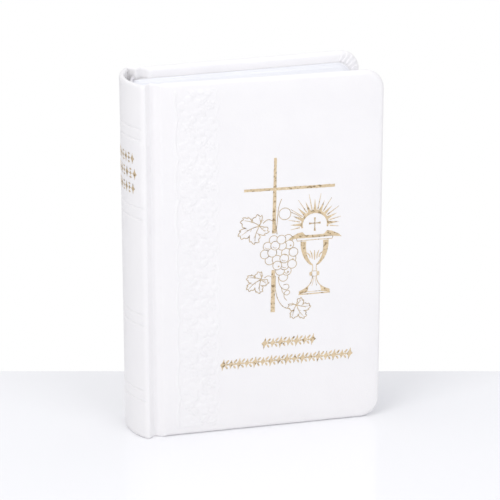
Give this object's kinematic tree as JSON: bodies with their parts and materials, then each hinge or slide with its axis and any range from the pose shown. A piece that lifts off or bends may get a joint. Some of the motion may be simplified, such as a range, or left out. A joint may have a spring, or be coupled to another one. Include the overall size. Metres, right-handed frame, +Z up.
{
  "type": "prayer book",
  "caption": "Small hardbound prayer book with padded covers, rounded spine, joint grooves, gold ornament on the front, and covers and leaves that open.",
  "frame": {"origin": "middle of the footprint, on the plane the book stands on", "axes": "+Z up along the spine from tail to head, +X from the spine to the fore-edge, front cover towards -Y"},
  "size_m": [0.0906, 0.0312, 0.13],
  "materials": {
    "leatherette": "satin white artificial leather, fine pebble grain",
    "gold_foil": "hot-stamped pale gold foil",
    "book_paper": "thin white book paper, trimmed edges",
    "endpaper": "smooth white endpaper",
    "grey_board": "grey binder's board",
    "foam_padding": "thin soft foam sheet",
    "mull": "open-weave gauze",
    "kraft_lining": "kraft paper",
    "sewing_thread": "waxed linen thread",
    "headband": "woven white headband"
  },
  "bodies": {
    "spine": {"spine_leatherette": "leatherette", "spine_inlay": "grey_board", "spine_lining": "kraft_lining", "spine_mull": "mull", "sewing_thread_1": "sewing_thread", "sewing_thread_2": "sewing_thread", "sewing_thread_3": "sewing_thread", "sewing_thread_4": "sewing_thread", "headband": "headband", "tailband": "headband", "foil_spine_ornament": "gold_foil", "section_01_fold": "book_paper", "section_02_fold": "book_paper", "section_03_fold": "book_paper", "section_04_fold": "book_paper", "section_05_fold": "book_paper", "section_06_fold": "book_paper", "section_07_fold": "book_paper", "section_08_fold": "book_paper", "section_09_fold": "book_paper", "section_10_fold": "book_paper", "section_11_fold": "book_paper", "section_12_fold": "book_paper"},
    "front_cover": {"front_leatherette": "leatherette", "front_padding": "foam_padding", "front_board": "grey_board", "front_pastedown": "endpaper", "foil_cross": "gold_foil", "foil_cross_foot": "gold_foil", "foil_host_rays": "gold_foil", "foil_host_cross": "gold_foil", "foil_chalice": "gold_foil", "foil_grapes": "gold_foil", "foil_leaf_upper": "gold_foil", "foil_leaf_lower_left": "gold_foil", "foil_leaf_lower_right": "gold_foil", "foil_tendril_upper": "gold_foil", "foil_tendril_lower": "gold_foil", "foil_ornament_short": "gold_foil", "foil_ornament_long": "gold_foil"},
    "back_cover": {"back_leatherette": "leatherette", "back_padding": "foam_padding", "back_board": "grey_board", "back_pastedown": "endpaper"},
    "front_flyleaf": {"front_flyleaf": "endpaper"},
    "back_flyleaf": {"back_flyleaf": "endpaper"},
    "section_01": {"section_01_leaves": "book_paper"},
    "section_02": {"section_02_leaves": "book_paper"},
    "section_03": {"section_03_leaves": "book_paper"},
    "section_04": {"section_04_leaves": "book_paper"},
    "section_05": {"section_05_leaves": "book_paper"},
    "section_06": {"section_06_leaves": "book_paper"},
    "section_07": {"section_07_leaves": "book_paper"},
    "section_08": {"section_08_leaves": "book_paper"},
    "section_09": {"section_09_leaves": "book_paper"},
    "section_10": {"section_10_leaves": "book_paper"},
    "section_11": {"section_11_leaves": "book_paper"},
    "section_12": {"section_12_leaves": "book_paper"}
  },
  "joints": [
    {"name": "front_cover_hinge", "type": "hinge", "parent": "spine", "child": "front_cover", "pos_m": [-0.03777, -0.01065, 0], "axis": [0, 0, -1], "range_deg": [0, 140]},
    {"name": "back_cover_hinge", "type": "hinge", "parent": "spine", "child": "back_cover", "pos_m": [-0.03777, 0.01065, 0], "axis": [0, 0, 1], "range_deg": [0, 140]},
    {"name": "front_flyleaf_turn", "type": "hinge", "parent": "spine", "child": "front_flyleaf", "pos_m": [-0.03577, -0.00914, 0], "axis": [0, 0, -1], "range_deg": [0, 105.01]},
    {"name": "back_flyleaf_turn", "type": "hinge", "parent": "spine", "child": "back_flyleaf", "pos_m": [-0.03577, 0.00914, 0], "axis": [0, 0, 1], "range_deg": [0, 105.01]},
    {"name": "section_01_turn", "type": "hinge", "parent": "spine", "child": "section_01", "pos_m": [-0.03577, -0.00822, 0], "axis": [0, 0, -1], "range_deg": [0, 88.01]},
    {"name": "section_02_turn", "type": "hinge", "parent": "spine", "child": "section_02", "pos_m": [-0.03577, -0.00673, 0], "axis": [0, 0, -1], "range_deg": [0, 72.01]},
    {"name": "section_03_turn", "type": "hinge", "parent": "spine", "child": "section_03", "pos_m": [-0.03577, -0.00523, 0], "axis": [0, 0, -1], "range_deg": [0, 56.01]},
    {"name": "section_04_turn", "type": "hinge", "parent": "spine", "child": "section_04", "pos_m": [-0.03577, -0.00374, 0], "axis": [0, 0, -1], "range_deg": [0, 40.01]},
    {"name": "section_05_turn", "type": "hinge", "parent": "spine", "child": "section_05", "pos_m": [-0.03577, -0.00224, 0], "axis": [0, 0, -1], "range_deg": [0, 24.01]},
    {"name": "section_06_turn", "type": "hinge", "parent": "spine", "child": "section_06", "pos_m": [-0.03577, -0.00075, 0], "axis": [0, 0, -1], "range_deg": [0, 8.01]},
    {"name": "section_07_turn", "type": "hinge", "parent": "spine", "child": "section_07", "pos_m": [-0.03577, 0.00075, 0], "axis": [0, 0, 1], "range_deg": [0, 8.01]},
    {"name": "section_08_turn", "type": "hinge", "parent": "spine", "child": "section_08", "pos_m": [-0.03577, 0.00224, 0], "axis": [0, 0, 1], "range_deg": [0, 24.01]},
    {"name": "section_09_turn", "type": "hinge", "parent": "spine", "child": "section_09", "pos_m": [-0.03577, 0.00374, 0], "axis": [0, 0, 1], "range_deg": [0, 40.01]},
    {"name": "section_10_turn", "type": "hinge", "parent": "spine", "child": "section_10", "pos_m": [-0.03577, 0.00523, 0], "axis": [0, 0, 1], "range_deg": [0, 56.01]},
    {"name": "section_11_turn", "type": "hinge", "parent": "spine", "child": "section_11", "pos_m": [-0.03577, 0.00673, 0], "axis": [0, 0, 1], "range_deg": [0, 72.01]},
    {"name": "section_12_turn", "type": "hinge", "parent": "spine", "child": "section_12", "pos_m": [-0.03577, 0.00822, 0], "axis": [0, 0, 1], "range_deg": [0, 88.01]}
  ],
  "couplings": [
    {"joint": "front_flyleaf_turn", "follows": "front_cover_hinge", "ratio": 0.75},
    {"joint": "back_flyleaf_turn", "follows": "back_cover_hinge", "ratio": 0.75},
    {"joint": "section_01_turn", "follows": "front_cover_hinge", "ratio": 0.62857},
    {"joint": "section_02_turn", "follows": "front_cover_hinge", "ratio": 0.51429},
    {"joint": "section_03_turn", "follows": "front_cover_hinge", "ratio": 0.4},
    {"joint": "section_04_turn", "follows": "front_cover_hinge", "ratio": 0.28571},
    {"joint": "section_05_turn", "follows": "front_cover_hinge", "ratio": 0.17143},
    {"joint": "section_06_turn", "follows": "front_cover_hinge", "ratio": 0.057143},
    {"joint": "section_07_turn", "follows": "back_cover_hinge", "ratio": 0.057143},
    {"joint": "section_08_turn", "follows": "back_cover_hinge", "ratio": 0.17143},
    {"joint": "section_09_turn", "follows": "back_cover_hinge", "ratio": 0.28571},
    {"joint": "section_10_turn", "follows": "back_cover_hinge", "ratio": 0.4},
    {"joint": "section_11_turn", "follows": "back_cover_hinge", "ratio": 0.51429},
    {"joint": "section_12_turn", "follows": "back_cover_hinge", "ratio": 0.62857}
  ]
}
